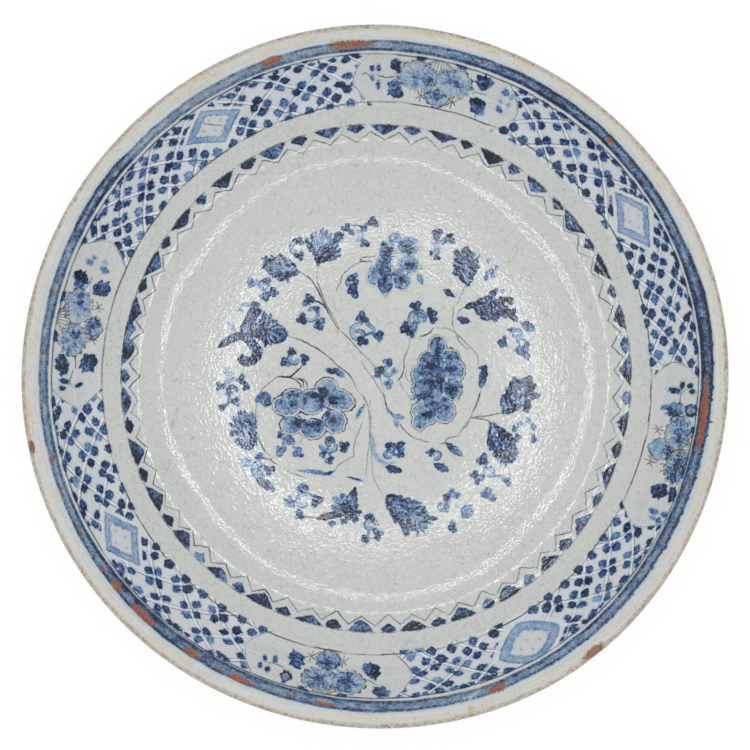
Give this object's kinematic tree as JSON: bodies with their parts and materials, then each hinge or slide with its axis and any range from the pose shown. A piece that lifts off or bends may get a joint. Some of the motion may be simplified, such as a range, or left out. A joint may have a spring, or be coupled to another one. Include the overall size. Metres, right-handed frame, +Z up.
{
  "type": "faience dish",
  "caption": "Deep round tin-glazed earthenware dish with a broad rising wall, a ridge inside its rolled lip and a low turned foot ring.",
  "frame": {"origin": "on the table, under the axis of the dish, in the plane of the foot ring's resting face", "axes": "+Z up along the dish's axis, out of the well; +X and +Y lie in the table's plane, with +Y the top of the picture when the face is seen from above"},
  "size_m": [0.3505, 0.3493, 0.0482],
  "materials": {
    "clay": "matte",
    "face_glaze": "gloss",
    "back_glaze": "gloss",
    "recess_glaze": "gloss"
  },
  "bodies": {
    "root": {"earthenware_body": "clay", "face_glaze": "face_glaze", "back_glaze": "back_glaze", "recess_glaze": "recess_glaze"}
  },
  "joints": []
}
